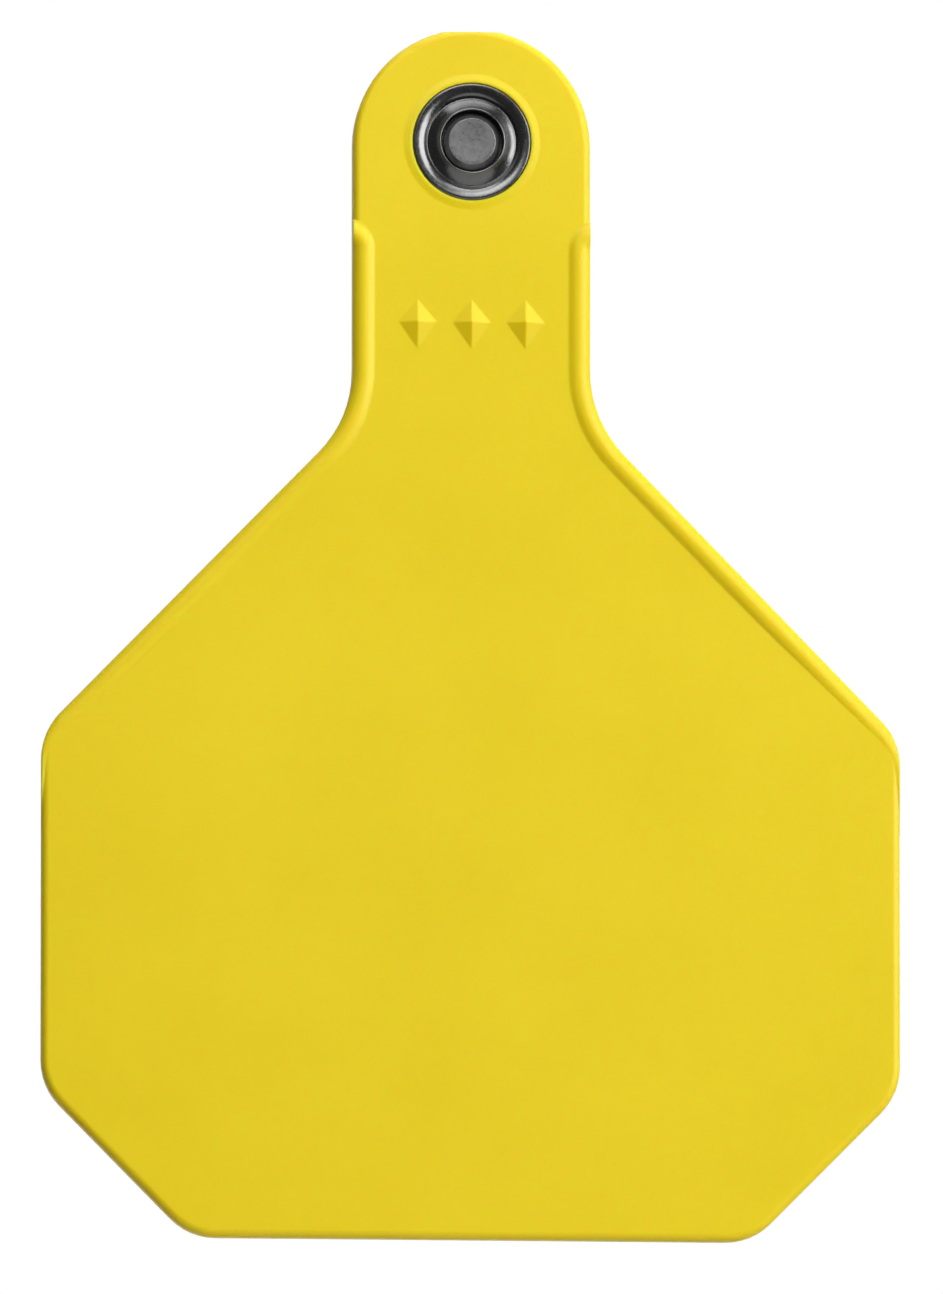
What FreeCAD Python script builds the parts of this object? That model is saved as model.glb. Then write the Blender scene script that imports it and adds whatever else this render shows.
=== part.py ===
"""Two-piece livestock ear tag: a yellow marking panel with a black lock bushing in its head,
and a yellow round button whose hard black stud tip is locked in that bushing.

Millimetres. +Z runs up the neck to the head, the marked front faces -Y, and the origin is on
the stud axis, midway across the gap that the ear fills.
"""
import FreeCAD, Part

import math
import os

Vector = FreeCAD.Vector
ACROSS = Vector(1, 0, 0)
BACKWARD = Vector(0, 1, 0)
ORIGIN = Vector(0, 0, 0)
TOUCHING = 1e-4                # how near two places count as one

# Marking panel: its outline, in heights above the stud axis
neck_width = 21.1              # also the diameter of the round head
head_centre_height = -0.3      # the stud stands a little above the middle of the head
gate_flat_height = 9.9         # the moulding gate is trimmed flat here, on top of the head
neck_corner_height = -24.8    # where the neck turns into the shoulders
neck_corner_radius = 10.8
panel_width = 76.2
shoulder_height = -53.1
shoulder_radius = 5.8
lower_corner_height = -84.75
lower_corner_radius = 5.8
bottom_width = 49.9
bottom_height = -98.1
bottom_corner_radius = 5.6

# Marking panel: its thickness, which falls from the head to the writing field
head_thickness = 2.4
field_thickness = 1.6
taper_top_height = -8.6
taper_bottom_height = -42.5
taper_blend_radius = 200.0
front_edge_radius = 0.65
back_edge_chamfer = 0.25

# Stiffening ribs: low beads along both edges of the neck and of the shoulders
rib_inset = 1.0                # from the panel's edge to the rib's crest
rib_outer_radius = 1.15        # rolls over to the panel's edge
rib_inner_radius = 1.35        # rolls over towards the panel's face
rib_foot_radius = 0.75         # and flattens out on it
rib_flank = 32.0               # steepest slope between those two, in degrees
rib_start_height = -9.7        # the rib swings in from the edge above this height
rib_start_bend = 1.5
rib_start_crest = 2.67         # crest above the panel's back face at its upper end
rib_end_height = -55.0         # the crest has sunk to the field here
rib_shoulder_bend = 7.0
rib_run_out = 12.0             # degrees by which the rib leaves the side edge

# Raised four-sided pyramids in a row across the neck
pyramid_count = 3
pyramid_pitch = 4.8
pyramid_width = 3.4
pyramid_length = 4.4
pyramid_rise = 0.6
pyramid_sunk = 1.5             # the whole pyramid's size over the size that shows
pyramid_height = -16.2

# Eye of the panel, a stepped hole that holds the bushing captive
front_seat_depth = 0.9
back_seat_depth = 0.6
eye_bead_width = 0.8
eye_bead_flat = 0.25           # level top of the bead
eye_bead_rise = 0.12

# Lock bushing, a rigid spool that turns in the eye
bushing_front_radius = 5.25
bushing_waist_radius = 3.9
bushing_back_radius = 5.0
bushing_back_proud = 0.3       # it bears on the ear ahead of the panel
rim_rise = 0.2                 # rim above the head's front face
rim_width = 0.25
rim_chamfer = 0.12
groove_radius = 3.95
groove_depth = 0.5             # below the rim
collar_rise = 0.55             # collar's edge above the head's front face
collar_edge_width = 0.1
collar_hollow = 0.08           # how far the collar's flank falls short of straight
cavity_radius = 2.8
lip_thickness = 0.6
lip_height = 0.6               # back of the lip above the panel's back face
entry_radius = 2.9

# Stud tip, a hard core moulded into the button's stem
barb_radius = 2.5
barb_length = 1.4
barb_chamfer = 0.42
tip_dish_radius = 1.75
tip_dish_depth = 0.12
shank_radius = 1.9
anchor_radius = 3.2
anchor_thickness = 0.7
anchor_cover = 0.4             # button left between the anchor and the ear
pin_hole_radius = 1.15
pin_hole_depth = 8.4

# Button and its stem
ear_gap = 9.0                  # between the bushing's back face and the button
button_radius = 9.5
button_thickness = 1.9
button_edge_thickness = 1.3
button_edge_chamfer = 0.4
button_dome_radius = 4.0       # flat middle of its back
stem_length = 3.6
stem_tip_radius = 2.6
stem_root_radius = 3.0
stem_root_flare = 1.0

# Fits
turning_clearance = 0.05       # bushing in the eye, all round and at both ends
sliding_clearance = 0.06       # lip on the shank
locking_clearance = 0.02       # barb on the lip
moulded_clearance = 0.02       # core in the button

# Places that follow from the sizes above
neck_half = neck_width / 2
panel_half = panel_width / 2
bottom_half = bottom_width / 2
bushing_back_y = -ear_gap / 2
panel_back_y = bushing_back_y - bushing_back_proud
head_front_y = panel_back_y - head_thickness
lip_front_y = panel_back_y - lip_height - lip_thickness
button_front_y = ear_gap / 2
button_back_y = button_front_y + button_thickness
stem_tip_y = button_front_y - stem_length
barb_back_y = lip_front_y - locking_clearance


def at(x, y, z):
    return Vector(x, y, z)


def in_outline(x, z):
    """A point of the panel's outline, on its back face."""
    return Vector(x, panel_back_y, z)


def rounded(corners):
    """Edges of the path through (point, radius) corners, each corner rounded by its radius."""
    edges = []
    start = corners[0][0]
    for before, (corner, radius), after in zip(corners, corners[1:], corners[2:]):
        arriving = (before[0] - corner).normalize()
        leaving = (after[0] - corner).normalize()
        half_angle = arriving.getAngle(leaving) / 2
        setback = radius / math.tan(half_angle)
        inward = (arriving + leaving).normalize()
        first = corner + arriving * setback
        middle = corner + inward * (radius / math.sin(half_angle) - radius)
        last = corner + leaving * setback
        edges.append(Part.LineSegment(start, first).toShape())
        edges.append(Part.Arc(first, middle, last).toShape())
        start = last
    edges.append(Part.LineSegment(start, corners[-1][0]).toShape())
    return edges


def turned(points):
    """The solid of revolution about the stud axis of a closed (radius, y) profile. A step of
    three pairs in one tuple is an arc from the point before it, through the first pair."""
    edges = []
    start = at(points[0][0], points[0][1], 0)
    for step in points[1:] + points[:1]:
        if len(step) == 4:
            through = at(step[0], step[1], 0)
            end = at(step[2], step[3], 0)
            edges.append(Part.Arc(start, through, end).toShape())
        else:
            end = at(step[0], step[1], 0)
            edges.append(Part.LineSegment(start, end).toShape())
        start = end
    return Part.Face(Part.Wire(edges)).revolve(ORIGIN, BACKWARD, 360)


def disc(radius, y_front, y_back):
    return Part.makeCylinder(radius, y_back - y_front, at(0, y_front, 0), BACKWARD)


def both_sides(shape):
    return [shape, shape.mirror(ORIGIN, ACROSS)]


# Marking panel


def panel_outline():
    """The closed outline: round head, straight neck, sloping shoulders, clipped lower corners."""
    right = [
        (in_outline(neck_half, head_centre_height), 0),
        (in_outline(neck_half, neck_corner_height), neck_corner_radius),
        (in_outline(panel_half, shoulder_height), shoulder_radius),
        (in_outline(panel_half, lower_corner_height), lower_corner_radius),
        (in_outline(bottom_half, bottom_height), bottom_corner_radius),
    ]
    left = [(in_outline(-point.x, point.z), radius) for point, radius in reversed(right)]
    head_top = in_outline(0, head_centre_height + neck_half)
    head = Part.Arc(left[-1][0], head_top, right[0][0])
    return Part.Wire(rounded(right + left) + [head.toShape()])


def thickness_profile():
    """The panel seen from its side: even at the head, tapering down the neck, even below."""
    above = at(0, head_front_y, neck_width)
    below = at(0, panel_back_y - field_thickness, bottom_height - neck_width)
    front = rounded([
        (above, 0),
        (at(0, head_front_y, taper_top_height), taper_blend_radius),
        (at(0, panel_back_y - field_thickness, taper_bottom_height), taper_blend_radius),
        (below, 0),
    ])
    below_back = at(0, panel_back_y, below.z)
    above_back = at(0, panel_back_y, above.z)
    back = Part.makePolygon([below, below_back, above_back, above])
    side = Part.Face(Part.Wire(front + back.Edges))
    side.translate(ACROSS * -panel_width)
    return side.extrude(ACROSS * 2 * panel_width)


def outline_edges(shape, on_back):
    """The edges round the outer wall of the sheet, on its back face or on its front."""
    wall = panel_outline()

    def is_upright(box):
        return box.XLength < TOUCHING and box.ZLength < TOUCHING

    def is_back(box):
        return box.YMin > panel_back_y - TOUCHING

    def is_on_wall(edge):
        middle = edge.valueAt((edge.FirstParameter + edge.LastParameter) / 2)
        beside = Part.Vertex(in_outline(middle.x, middle.z))
        return wall.distToShape(beside)[0] < TOUCHING

    return [
        edge for edge in shape.Edges
        if not is_upright(edge.BoundBox)
        and is_back(edge.BoundBox) == on_back
        and is_on_wall(edge)
    ]


def panel_sheet():
    prism = Part.Face(panel_outline()).extrude(BACKWARD * -2 * head_thickness)
    sheet = prism.common(thickness_profile())
    sheet = sheet.makeFillet(front_edge_radius, outline_edges(sheet, False))
    return sheet.makeChamfer(back_edge_chamfer, outline_edges(sheet, True))


def rib_section(crest, outward):
    """The rib's section with its crest at a point: rolled over on the outward side, falling
    away in an S on the other, and flat at its root."""
    def place(across, down):
        return crest + outward * across + BACKWARD * down

    def turned_by(radius, angle):
        """How far across and down a round of that radius has come after turning so far."""
        return radius * math.sin(angle), radius * (1 - math.cos(angle))

    flank = math.radians(rib_flank)
    rolled, half_rolled = (turned_by(rib_inner_radius, angle) for angle in (flank, flank / 2))
    foot, half_foot = (turned_by(rib_foot_radius, angle) for angle in (flank, flank / 2))
    foot_across, foot_down = rolled[0] + foot[0], rolled[1] + foot[1]
    steepest = place(-rolled[0], rolled[1])
    foot_end = place(-foot_across, foot_down)
    outer_end = place(rib_outer_radius, rib_outer_radius)
    outer_across, outer_down = turned_by(rib_outer_radius, math.pi / 4)
    inner_root = place(-foot_across, rib_outer_radius)
    edges = [
        Part.Arc(crest, place(outer_across, outer_down), outer_end),
        Part.LineSegment(outer_end, inner_root),
        Part.LineSegment(inner_root, foot_end),
        Part.Arc(foot_end, place(half_foot[0] - foot_across, foot_down - half_foot[1]), steepest),
        Part.Arc(steepest, place(-half_rolled[0], half_rolled[1]), crest),
    ]
    return Part.Wire([edge.toShape() for edge in edges])


def rib():
    """The right-hand rib: it swings in from the edge below the head, follows the neck and the
    shoulder, sinks all the way, and runs out over the panel's side edge."""
    neck_x = neck_half - rib_inset
    shoulder = in_outline(panel_half, shoulder_height) - in_outline(neck_half, neck_corner_height)
    slope = math.atan2(-shoulder.z, shoulder.x)
    inset_drop = rib_inset * math.tan((math.pi / 2 - slope) / 2)
    corner = at(neck_x, 0, neck_corner_height - inset_drop)
    side_x = panel_half - rib_inset / 2
    turn = at(side_x, 0, corner.z - (side_x - neck_x) * math.tan(slope))
    run_out = math.radians(rib_run_out)
    run_out_length = (rib_inset + rib_inner_radius + rib_foot_radius) / math.sin(run_out)
    end = turn + at(math.sin(run_out), 0, -math.cos(run_out)) * run_out_length
    start = at(neck_x, 0, rib_start_height)
    first = start + at(rib_start_bend, 0, rib_start_bend)
    half_bend = rib_start_bend * (1 - math.sqrt(0.5))
    bend = Part.Arc(first, start + at(half_bend, 0, rib_start_bend - half_bend), start)
    spine = Part.Wire([bend.toShape()] + rounded([
        (start, 0),
        (corner, neck_corner_radius + rib_inset),
        (turn, rib_shoulder_bend),
        (end, 0),
    ]))
    bead = spine.makePipeShell([rib_section(first, at(0, 0, -1))], True, False)
    lean = math.atan2(rib_start_crest - field_thickness, rib_start_height - rib_end_height)
    bead.rotate(start, ACROSS, math.degrees(lean))
    bead.translate(BACKWARD * (panel_back_y - rib_start_crest))
    face = Part.Face(panel_outline())
    return bead.common(face.extrude(BACKWARD * -2 * head_thickness))


def eye_bead():
    """A low bead that the front of the eye stands in."""
    inner = bushing_front_radius + turning_clearance
    root = head_front_y + eye_bead_rise
    crest = head_front_y - eye_bead_rise
    return turned([
        (inner, root),
        (inner, crest),
        (inner + eye_bead_flat, crest),
        (inner + eye_bead_width, head_front_y),
        (inner + eye_bead_width, root),
    ])


def floor_y(height):
    """The panel's front face at a height on the tapering part of the neck."""
    share = (height - taper_bottom_height) / (taper_top_height - taper_bottom_height)
    share = min(max(share, 0), 1)
    return panel_back_y - field_thickness - share * (head_thickness - field_thickness)


def raised_pyramid(x):
    """A four-sided pyramid on the neck. Its sides run on down below the neck's face."""
    face_y = floor_y(pyramid_height)
    foot_y = face_y + pyramid_rise * (pyramid_sunk - 1)
    half_width = pyramid_width / 2 * pyramid_sunk
    half_length = pyramid_length / 2 * pyramid_sunk
    foot = [
        at(x, foot_y, pyramid_height + half_length),
        at(x + half_width, foot_y, pyramid_height),
        at(x, foot_y, pyramid_height - half_length),
        at(x - half_width, foot_y, pyramid_height),
    ]
    crest = at(x, face_y - pyramid_rise, pyramid_height)
    sides = [
        Part.Face(Part.makePolygon([near, far, crest, near]))
        for near, far in zip(foot, foot[1:] + foot[:1])
    ]
    base = Part.Face(Part.makePolygon(foot + foot[:1]))
    return Part.Solid(Part.Shell(sides + [base]))


def pyramid_row():
    first = -(pyramid_count - 1) / 2
    return [raised_pyramid((first + place) * pyramid_pitch) for place in range(pyramid_count)]


def eye_cutter():
    """The stepped hole: a seat for each flange, and the web between them."""
    front = disc(bushing_front_radius + turning_clearance,
                 head_front_y - head_thickness, head_front_y + front_seat_depth)
    through = disc(bushing_waist_radius + turning_clearance,
                   head_front_y, panel_back_y)
    back = disc(bushing_back_radius + turning_clearance,
                panel_back_y - back_seat_depth, panel_back_y + bushing_back_proud)
    return front.multiFuse([through, back])


def tag_panel():
    gate_trim = Part.makeBox(
        neck_width, 4 * head_thickness, neck_width,
        at(-neck_half, panel_back_y - 2 * head_thickness, gate_flat_height))
    panel = panel_sheet().cut(gate_trim)
    panel = panel.multiFuse(both_sides(rib()) + [eye_bead()] + pyramid_row())
    return panel.cut(eye_cutter()).removeSplitter()


# Lock bushing


def lock_bushing():
    """Front flange with a rolled rim and a dished groove, collar round the stud's cavity,
    waist in the eye, back flange, and the lip that the barb can't pass."""
    rim_y = head_front_y - rim_rise
    rim_in = bushing_front_radius - rim_width
    groove_y = rim_y + groove_depth
    groove_width = rim_in - groove_radius
    roll_radius = (groove_width ** 2 + groove_depth ** 2) / (2 * groove_depth)
    half_roll = math.asin(groove_width / roll_radius) / 2
    collar_y = head_front_y - collar_rise
    collar_out = cavity_radius + collar_edge_width
    flank = math.atan2(groove_y - collar_y, groove_radius - collar_out)
    front_seat_y = head_front_y + front_seat_depth - turning_clearance
    back_seat_y = panel_back_y - back_seat_depth + turning_clearance
    lip_radius = shank_radius + sliding_clearance
    return turned([
        (entry_radius, bushing_back_y),
        (bushing_back_radius, bushing_back_y),
        (bushing_back_radius, back_seat_y),
        (bushing_waist_radius, back_seat_y),
        (bushing_waist_radius, front_seat_y),
        (bushing_front_radius, front_seat_y),
        (bushing_front_radius, rim_y + rim_chamfer),
        (bushing_front_radius - rim_chamfer, rim_y),
        (rim_in, rim_y),
        (rim_in - roll_radius * math.sin(half_roll), rim_y + roll_radius * (1 - math.cos(half_roll)),
         groove_radius, groove_y),
        ((groove_radius + collar_out) / 2 - collar_hollow * math.sin(flank),
         (groove_y + collar_y) / 2 + collar_hollow * math.cos(flank),
         collar_out, collar_y),
        (cavity_radius, collar_y),
        (cavity_radius, lip_front_y),
        (lip_radius, lip_front_y),
        (lip_radius, lip_front_y + lip_thickness),
    ])


# Stud tip and button


def anchor_faces(clearance):
    """Front and back of the anchor flange, moved apart by a clearance."""
    front = button_front_y + anchor_cover
    return front - clearance, front + anchor_thickness + clearance


def pin_hole():
    """The blind hole from the button's back that an applicator's pin pushes in."""
    return disc(pin_hole_radius, button_back_y - pin_hole_depth, button_back_y + button_thickness)


def stud_tip():
    """Blunt dished end, chamfered barb head, shank, and the anchor flange in the button."""
    end_y = barb_back_y - barb_length
    anchor_front_y, anchor_back_y = anchor_faces(0)
    core = turned([
        (0, end_y + tip_dish_depth),
        (tip_dish_radius, end_y),
        (barb_radius - barb_chamfer, end_y),
        (barb_radius, end_y + barb_chamfer),
        (barb_radius, barb_back_y),
        (shank_radius, barb_back_y),
        (shank_radius, anchor_front_y),
        (anchor_radius, anchor_front_y),
        (anchor_radius, anchor_back_y),
        (0, anchor_back_y),
    ])
    return core.cut(pin_hole())


def back_button():
    """A round button, thicker in its middle, with the soft stem that carries the core."""
    edge_back_y = button_front_y + button_edge_thickness
    edge_in = button_radius - button_edge_chamfer
    body = turned([
        (0, stem_tip_y),
        (stem_tip_radius, stem_tip_y),
        (stem_root_radius, button_front_y - stem_root_flare),
        (stem_root_radius + stem_root_flare, button_front_y),
        (edge_in, button_front_y),
        (button_radius, button_front_y + button_edge_chamfer),
        (button_radius, edge_back_y - button_edge_chamfer),
        (edge_in, edge_back_y),
        (button_dome_radius, button_back_y),
        (0, button_back_y),
    ])
    anchor_front_y, anchor_back_y = anchor_faces(moulded_clearance)
    shank = disc(shank_radius + moulded_clearance, stem_tip_y - stem_length, anchor_back_y)
    anchor = disc(anchor_radius + moulded_clearance, anchor_front_y, anchor_back_y)
    return body.cut(shank.multiFuse([anchor, pin_hole()]))


SUB_PARTS = {
    "tag_panel": tag_panel,
    "lock_bushing": lock_bushing,
    "stud_tip": stud_tip,
    "back_button": back_button,
}

os.makedirs("parts", exist_ok=True)
for node, make in SUB_PARTS.items():
    make().exportStep("parts/" + node + ".step")
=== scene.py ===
import math

import bpy
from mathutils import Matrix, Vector

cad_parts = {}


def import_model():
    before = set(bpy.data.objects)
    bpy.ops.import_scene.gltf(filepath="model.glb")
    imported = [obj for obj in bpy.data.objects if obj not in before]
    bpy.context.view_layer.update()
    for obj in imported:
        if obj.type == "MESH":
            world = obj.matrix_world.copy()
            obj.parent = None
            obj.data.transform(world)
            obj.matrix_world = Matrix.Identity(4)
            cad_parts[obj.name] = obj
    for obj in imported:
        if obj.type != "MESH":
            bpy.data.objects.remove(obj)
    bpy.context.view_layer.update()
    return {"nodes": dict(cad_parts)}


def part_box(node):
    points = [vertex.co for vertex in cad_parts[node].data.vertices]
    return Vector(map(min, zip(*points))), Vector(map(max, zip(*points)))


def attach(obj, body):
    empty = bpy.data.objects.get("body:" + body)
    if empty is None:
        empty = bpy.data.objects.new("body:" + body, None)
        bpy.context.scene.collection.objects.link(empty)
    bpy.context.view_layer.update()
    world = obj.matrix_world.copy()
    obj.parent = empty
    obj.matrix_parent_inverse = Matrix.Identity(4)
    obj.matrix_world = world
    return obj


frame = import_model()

MM = 0.001


# Materials

# The soft yellow moulding
YELLOW_LOW = (0.800, 0.630, 0.004, 1)
YELLOW_HIGH = (0.830, 0.655, 0.008, 1)
CLOUD_SIZE = 14 * MM
GRAIN_SIZE = 0.35 * MM
GRAIN_DEPTH = 0.02 * MM
GRAIN_STRENGTH = 0.6
YELLOW_SMOOTHEST, YELLOW_ROUGHEST = 0.36, 0.48
YELLOW_ROUNDNESS = 0.2 * MM
YELLOW_SPECULAR = 0.35
GLOW_WEIGHT = 0.7
GLOW_REACH = (1.0, 0.35, 0.08)
GLOW_SCALE = 0.8 * MM

# The hard black mouldings
MOTTLE_SIZE = 0.9 * MM
MOTTLE_LIFT = 2.2
DUST_SIZE = 0.25 * MM
DUST_DEPTH = 0.01 * MM
DUST_STRENGTH = 0.5
DUST_STOPS = (0.35, 0.75)
BLACK_IOR = 1.8
BLACK_SPECULAR = 1.0


def new_material(name):
    """A node material, with its nodes, its links and its Principled shader."""
    material = bpy.data.materials.new(name)
    material.use_nodes = True
    nodes = material.node_tree.nodes
    return material, nodes, material.node_tree.links, nodes["Principled BSDF"]


def noise(nodes, links, size, detail, roughness=0.5):
    """Noise over the object's own coordinates, with grains about `size` metres across."""
    place = nodes.new("ShaderNodeTexCoord")
    texture = nodes.new("ShaderNodeTexNoise")
    texture.inputs["Scale"].default_value = 1 / size
    texture.inputs["Detail"].default_value = detail
    texture.inputs["Roughness"].default_value = roughness
    links.new(place.outputs["Object"], texture.inputs["Vector"])
    return texture.outputs["Fac"]


def ramp(nodes, links, source, low, high, stops=(0.3, 0.7)):
    """A colour or grey between two values, as the source goes between the stops."""
    blend = nodes.new("ShaderNodeValToRGB")
    first, last = blend.color_ramp.elements
    first.position, last.position = stops
    first.color, last.color = low, high
    links.new(source, blend.inputs["Fac"])
    return blend.outputs["Color"]


def soft_edges(nodes, radius, samples):
    """A normal that shades sharp edges as if they were rounded."""
    rounded = nodes.new("ShaderNodeBevel")
    rounded.samples = samples
    rounded.inputs["Radius"].default_value = radius
    return rounded.outputs["Normal"]


def bump(nodes, links, height, distance, strength, under):
    """A fine relief on top of the normal `under`."""
    node = nodes.new("ShaderNodeBump")
    node.inputs["Distance"].default_value = distance
    node.inputs["Strength"].default_value = strength
    links.new(height, node.inputs["Height"])
    links.new(under, node.inputs["Normal"])
    return node.outputs["Normal"]


def grey(value):
    return value, value, value, 1


def polyurethane(name):
    """Soft matte yellow moulding: faint clouding, fine grain, a broad weak sheen, and light
    that creeps a little way under its skin."""
    material, nodes, links, shader = new_material(name)
    clouding = noise(nodes, links, CLOUD_SIZE, detail=3)
    links.new(ramp(nodes, links, clouding, YELLOW_LOW, YELLOW_HIGH),
              shader.inputs["Base Color"])
    grain = noise(nodes, links, GRAIN_SIZE, detail=4, roughness=0.65)
    links.new(ramp(nodes, links, grain, grey(YELLOW_SMOOTHEST), grey(YELLOW_ROUGHEST)),
              shader.inputs["Roughness"])
    edges = soft_edges(nodes, YELLOW_ROUNDNESS, samples=6)
    links.new(bump(nodes, links, grain, GRAIN_DEPTH, GRAIN_STRENGTH, edges),
              shader.inputs["Normal"])
    shader.inputs["Specular IOR Level"].default_value = YELLOW_SPECULAR
    shader.inputs["Subsurface Weight"].default_value = GLOW_WEIGHT
    shader.inputs["Subsurface Radius"].default_value = GLOW_REACH
    shader.inputs["Subsurface Scale"].default_value = GLOW_SCALE
    return material


def hard_plastic(name, base, roughness, dullness, roundness):
    """Hard near-black moulding: glossy, with faint mottling and fine dust that dulls it."""
    material, nodes, links, shader = new_material(name)
    mottling = noise(nodes, links, MOTTLE_SIZE, detail=5, roughness=0.6)
    links.new(ramp(nodes, links, mottling, grey(base), grey(base * MOTTLE_LIFT)),
              shader.inputs["Base Color"])
    dust = noise(nodes, links, DUST_SIZE, detail=6, roughness=0.7)
    dulled = grey(roughness + dullness)
    links.new(ramp(nodes, links, dust, grey(roughness), dulled, DUST_STOPS),
              shader.inputs["Roughness"])
    edges = soft_edges(nodes, roundness, samples=8)
    links.new(bump(nodes, links, dust, DUST_DEPTH, DUST_STRENGTH, edges),
              shader.inputs["Normal"])
    shader.inputs["IOR"].default_value = BLACK_IOR
    shader.inputs["Specular IOR Level"].default_value = BLACK_SPECULAR
    return material


def finish_node(node, material):
    """Gives a CAD node its one material."""
    target = frame["nodes"][node]
    target.data.materials.clear()
    target.data.materials.append(material)


bushing_black = hard_plastic("bushing_black_moulding", base=0.002, roughness=0.17,
                             dullness=0.14, roundness=0.14 * MM)
stud_black = hard_plastic("stud_black_moulding", base=0.045, roughness=0.26,
                          dullness=0.22, roundness=0.1 * MM)
finish_node("tag_panel", polyurethane("panel_yellow_moulding"))
finish_node("back_button", polyurethane("button_yellow_moulding"))
finish_node("lock_bushing", bushing_black)
finish_node("stud_tip", stud_black)


# The stud's end: a smooth skin over the solid's shallow cone

DISH_RADIUS = 1.75 * MM
DISH_DEPTH = 0.03 * MM
SKIN = 0.004 * MM
RINGS = 8
SIDES = 64


def stud_end(material):
    """A smooth, very shallow dish over the middle of the stud's end."""
    end_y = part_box("stud_tip")[0].y - SKIN
    points = [(0, end_y + DISH_DEPTH, 0)]
    faces = []
    for ring in range(1, RINGS + 1):
        share = ring / RINGS
        for side in range(SIDES):
            angle = 2 * math.pi * side / SIDES
            points.append((
                DISH_RADIUS * share * math.sin(angle),
                end_y + DISH_DEPTH * (1 - share ** 2),
                DISH_RADIUS * share * math.cos(angle),
            ))
    for side in range(SIDES):
        after = (side + 1) % SIDES
        faces.append((0, 1 + after, 1 + side))
        for ring in range(RINGS - 1):
            near, far = 1 + ring * SIDES, 1 + (ring + 1) * SIDES
            faces.append((near + side, near + after, far + after, far + side))
    mesh = bpy.data.meshes.new("stud_end_dish")
    mesh.from_pydata(points, [], faces)
    mesh.materials.append(material)
    mesh.shade_smooth()
    piece = bpy.data.objects.new("stud_end_dish", mesh)
    bpy.context.scene.collection.objects.link(piece)
    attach(piece, "stud")


stud_end(stud_black)


# Stage

FLOOR_DROP = 110 * MM
FLOOR_RADIUS = 220 * MM
FLOOR_SIDES = 96
FLOOR_COLOUR = (0.82, 0.82, 0.81, 1)
FLOOR_ROUGHNESS = 0.7

WHITE = (1, 1, 1, 1)
FILL_STRENGTH = 0.07
BACKDROP_STRENGTH = 1
# How far towards +Y, behind the tag, a reflection looks when it begins to show the white
# backdrop, and when it shows it fully
BACKDROP_BEGINS, BACKDROP_FULL = -0.1, 0.3


def floor():
    """A pale round floor under the tag, out of the camera's frame."""
    floor_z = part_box("tag_panel")[0].z - FLOOR_DROP
    bpy.ops.mesh.primitive_circle_add(vertices=FLOOR_SIDES, radius=FLOOR_RADIUS,
                                      fill_type="NGON", location=(0, 0, floor_z))
    disc = bpy.context.object
    disc.name = "floor"
    material, _, _, shader = new_material("floor_pale")
    shader.inputs["Base Color"].default_value = FLOOR_COLOUR
    shader.inputs["Roughness"].default_value = FLOOR_ROUGHNESS
    disc.data.materials.append(material)


def combine(nodes, links, operation, first, second):
    """What a Math node makes of two outputs."""
    node = nodes.new("ShaderNodeMath")
    node.operation = operation
    links.new(first, node.inputs[0])
    links.new(second, node.inputs[1])
    return node.outputs["Value"]


def white_light(nodes, strength):
    """An even white background of one strength."""
    node = nodes.new("ShaderNodeBackground")
    node.inputs["Color"].default_value = WHITE
    node.inputs["Strength"].default_value = strength
    return node.outputs["Background"]


def world():
    """White for the camera, through anything clear and in what reflects the far side of the
    tag, and a dim even fill for everything else."""
    studio = bpy.data.worlds.new("studio")
    bpy.context.scene.world = studio
    studio.use_nodes = True
    nodes, links = studio.node_tree.nodes, studio.node_tree.links
    nodes.clear()
    ray = nodes.new("ShaderNodeLightPath").outputs
    place = nodes.new("ShaderNodeTexCoord")
    split = nodes.new("ShaderNodeSeparateXYZ")
    links.new(place.outputs["Generated"], split.inputs["Vector"])
    behind = nodes.new("ShaderNodeMapRange")
    behind.inputs["From Min"].default_value = BACKDROP_BEGINS
    behind.inputs["From Max"].default_value = BACKDROP_FULL
    links.new(split.outputs["Y"], behind.inputs["Value"])
    mirrored = combine(nodes, links, "MULTIPLY", ray["Is Glossy Ray"], behind.outputs["Result"])
    seen = combine(nodes, links, "MAXIMUM", ray["Is Camera Ray"], mirrored)
    shown = combine(nodes, links, "MAXIMUM", seen, ray["Is Transmission Ray"])
    fill = white_light(nodes, FILL_STRENGTH)
    backdrop = white_light(nodes, BACKDROP_STRENGTH)
    mix = nodes.new("ShaderNodeMixShader")
    links.new(shown, mix.inputs["Fac"])
    links.new(fill, mix.inputs[1])
    links.new(backdrop, mix.inputs[2])
    output = nodes.new("ShaderNodeOutputWorld")
    links.new(mix.outputs["Shader"], output.inputs["Surface"])


# Lights

EYE = (0, 0, 0)
NECK = (0, 0, -0.035)

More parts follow.
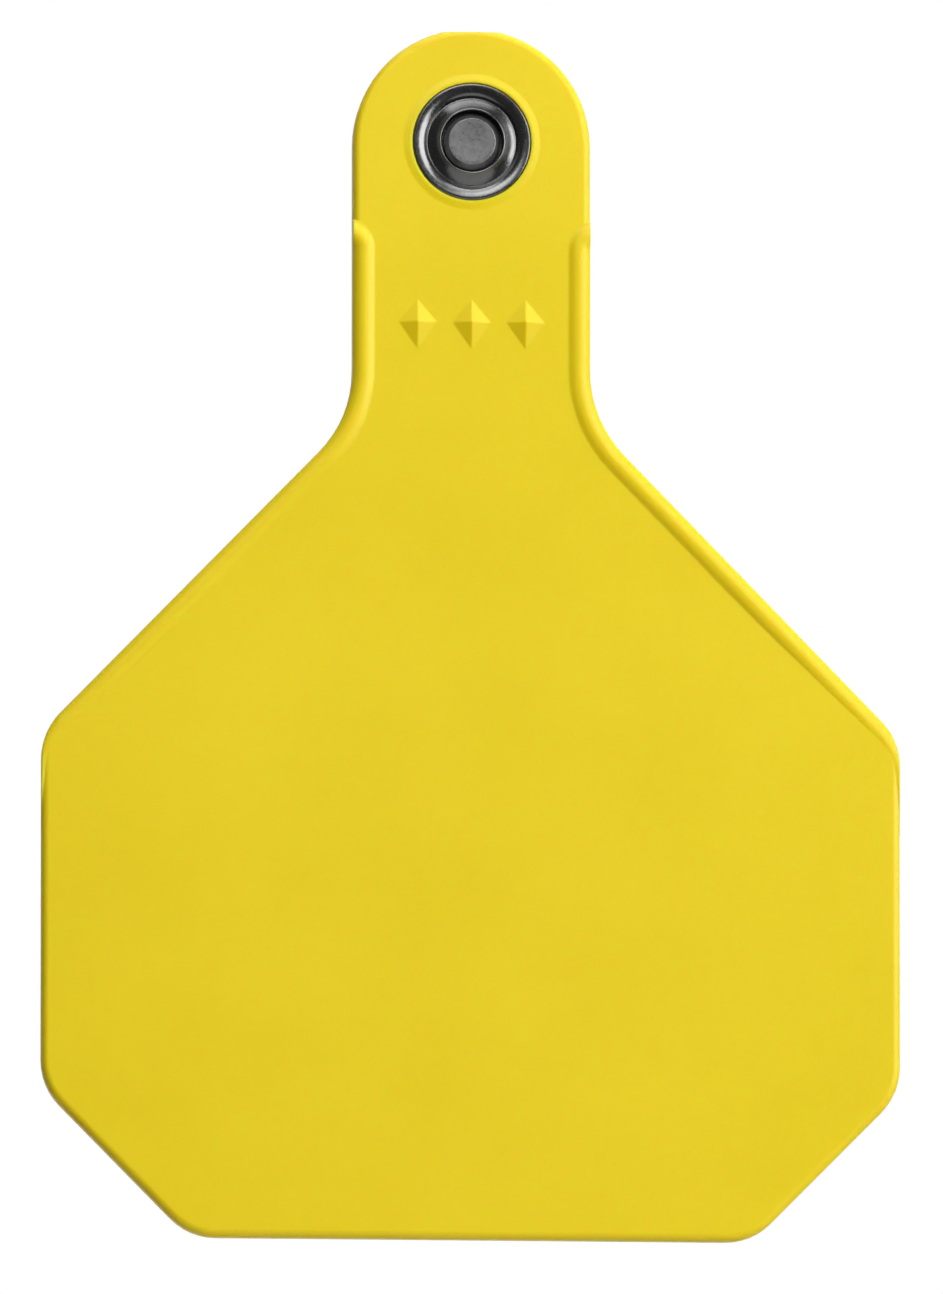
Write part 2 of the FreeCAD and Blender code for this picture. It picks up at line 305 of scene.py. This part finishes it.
# Name, place, what it faces, width and height in metres, power in watts
LAMPS = (
    ("key", (0.637, -0.534, 0.142), NECK, 0.70, 0.70, 7.4),
    ("front", (-0.045, -0.431, 0.250), EYE, 0.24, 0.20, 0.60),
    ("over", (0.029, -0.276, 0.355), EYE, 0.34, 0.20, 0.40),
    ("top", (0.002, -0.057, 0.325), EYE, 0.34, 0.26, 0.68),
)


def area_light(name, place, target, width, height, power):
    """A white softbox that the camera doesn't see."""
    data = bpy.data.lights.new(name, "AREA")
    data.shape = "RECTANGLE"
    data.size, data.size_y = width, height
    data.energy = power
    lamp = bpy.data.objects.new(name, data)
    bpy.context.scene.collection.objects.link(lamp)
    lamp.location = place
    lamp.rotation_mode = "QUATERNION"
    lamp.rotation_quaternion = (Vector(target) - Vector(place)).to_track_quat("-Z", "Y")
    lamp.visible_camera = False


# Camera

# The frame's height at the tag; the lens and the sensor are in millimetres
VIEW_HEIGHT = 114.9 * MM
LENS = 1000
SENSOR = 36
VIEW_FROM_LEFT = math.radians(4.0)
VIEW_FROM_BELOW = math.radians(8.5)
VIEW_CENTRE = (0.47 * MM, 0, -44.27 * MM)
VIEW_REACH = 20


def camera():
    """A very long lens a little to the left of the panel's axis and below it."""
    data = bpy.data.cameras.new("camera")
    data.lens, data.sensor_width = LENS, SENSOR
    data.clip_end = VIEW_REACH
    eye = bpy.data.objects.new("camera", data)
    bpy.context.scene.collection.objects.link(eye)
    towards = Vector((
        -math.sin(VIEW_FROM_LEFT) * math.cos(VIEW_FROM_BELOW),
        -math.cos(VIEW_FROM_LEFT) * math.cos(VIEW_FROM_BELOW),
        -math.sin(VIEW_FROM_BELOW),
    ))
    distance = VIEW_HEIGHT * LENS / SENSOR
    eye.location = Vector(VIEW_CENTRE) + towards * distance
    eye.rotation_euler = (math.pi / 2 + VIEW_FROM_BELOW, 0, -VIEW_FROM_LEFT)
    bpy.context.scene.camera = eye


floor()
world()
for lamp in LAMPS:
    area_light(*lamp)
camera()

bpy.context.scene.view_settings.view_transform = "Standard"
